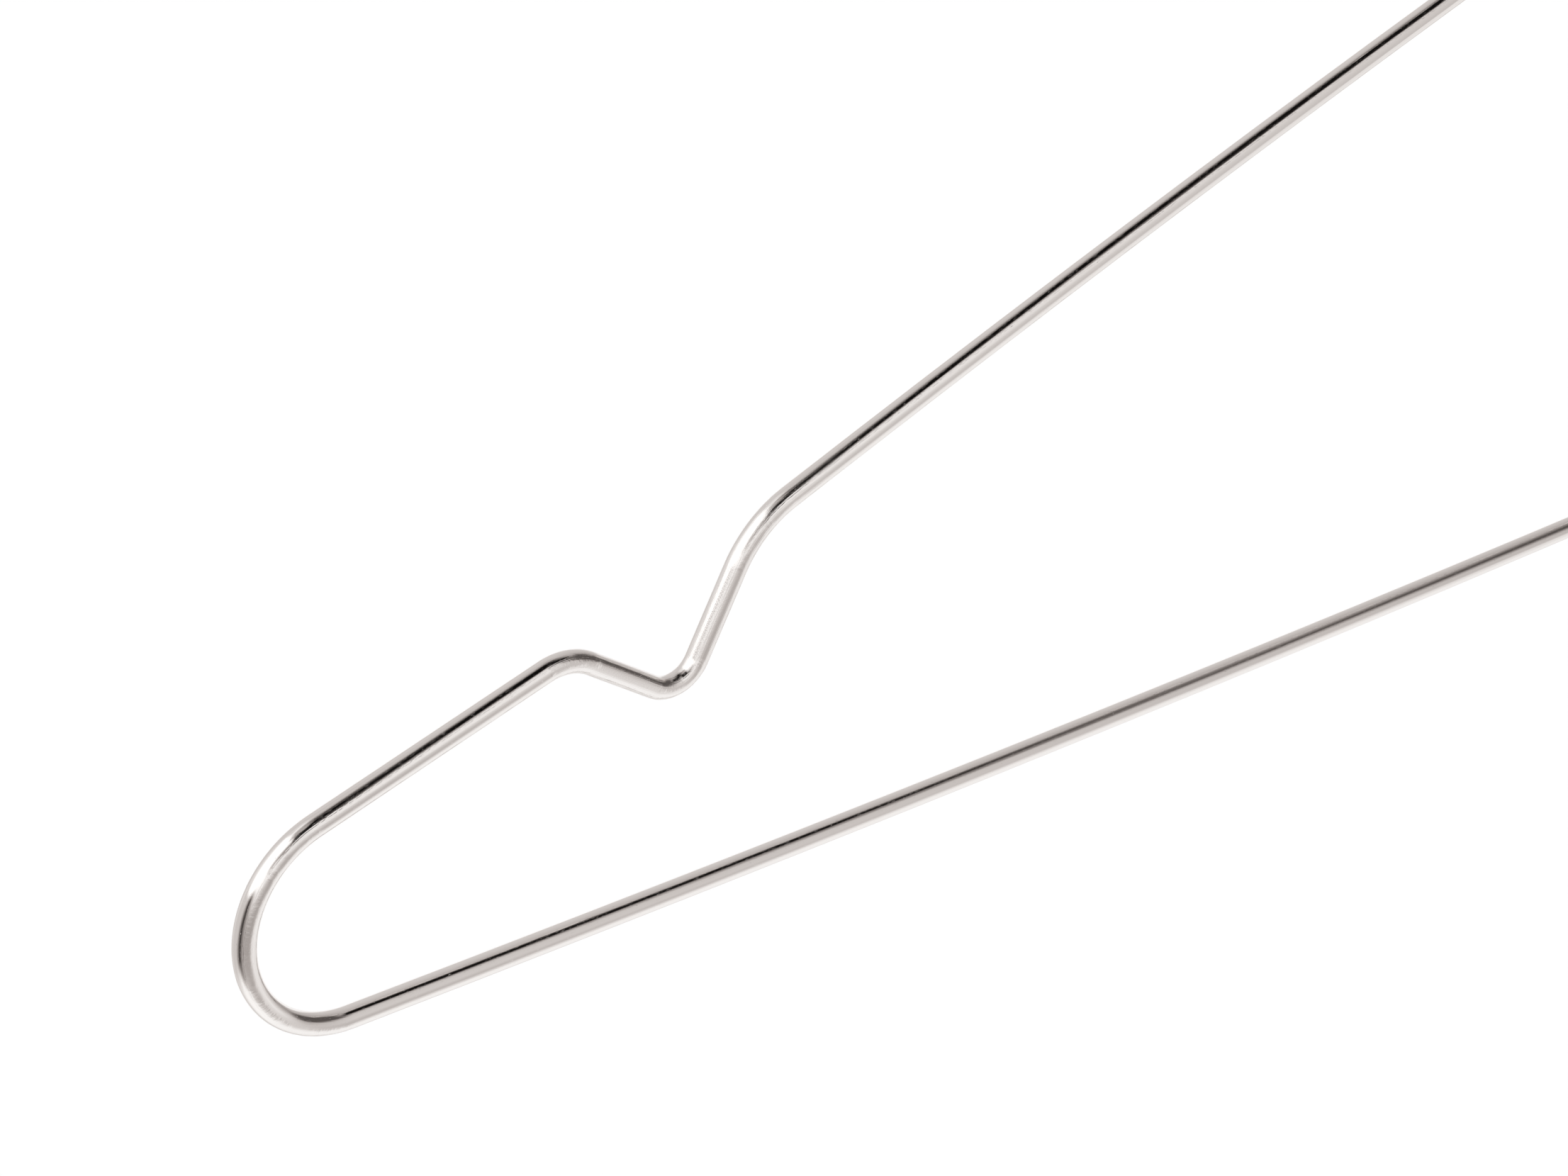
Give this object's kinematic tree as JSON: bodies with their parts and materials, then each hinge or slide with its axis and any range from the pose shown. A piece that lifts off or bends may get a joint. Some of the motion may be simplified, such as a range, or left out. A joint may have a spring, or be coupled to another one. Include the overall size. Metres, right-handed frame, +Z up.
{
  "type": "trouser hanger",
  "caption": "Polished wire hanger with a trouser bar, rounded corners, strap notches in the shoulders and a swivel rail hook.",
  "frame": {"origin": "the point on the inside of the hook's crown that rests on the rail, on the swivel axis", "axes": "+X along the trouser bar, +Y across the hanger, +Z up; the hanger lies about the plane Y = 0"},
  "size_m": [0.44, 0.01, 0.1841],
  "materials": {
    "frame_wire": "bright polished plating on drawn wire, faint drawing lines along it",
    "neck_sleeve": "bright polished plating on a turned sleeve",
    "braze_metal": "smooth fillet of filler metal under the plating",
    "hook_wire": "bright polished plating on drawn wire",
    "washer": "plain steel washer, stamped",
    "rivet_cap": "bright polished plating on a turned cap"
  },
  "bodies": {
    "hook": {"hook": "hook_wire", "thrust_washer": "washer", "rivet_cap": "rivet_cap"},
    "frame": {"frame_wire": "frame_wire", "neck_sleeve": "neck_sleeve", "braze_fillets": "braze_metal"}
  },
  "joints": [
    {"name": "hook_swivel", "type": "hinge", "parent": "hook", "child": "frame", "pos_m": [0, 0, -0.08094], "axis": [0, 0, 1], "continuous": true}
  ]
}
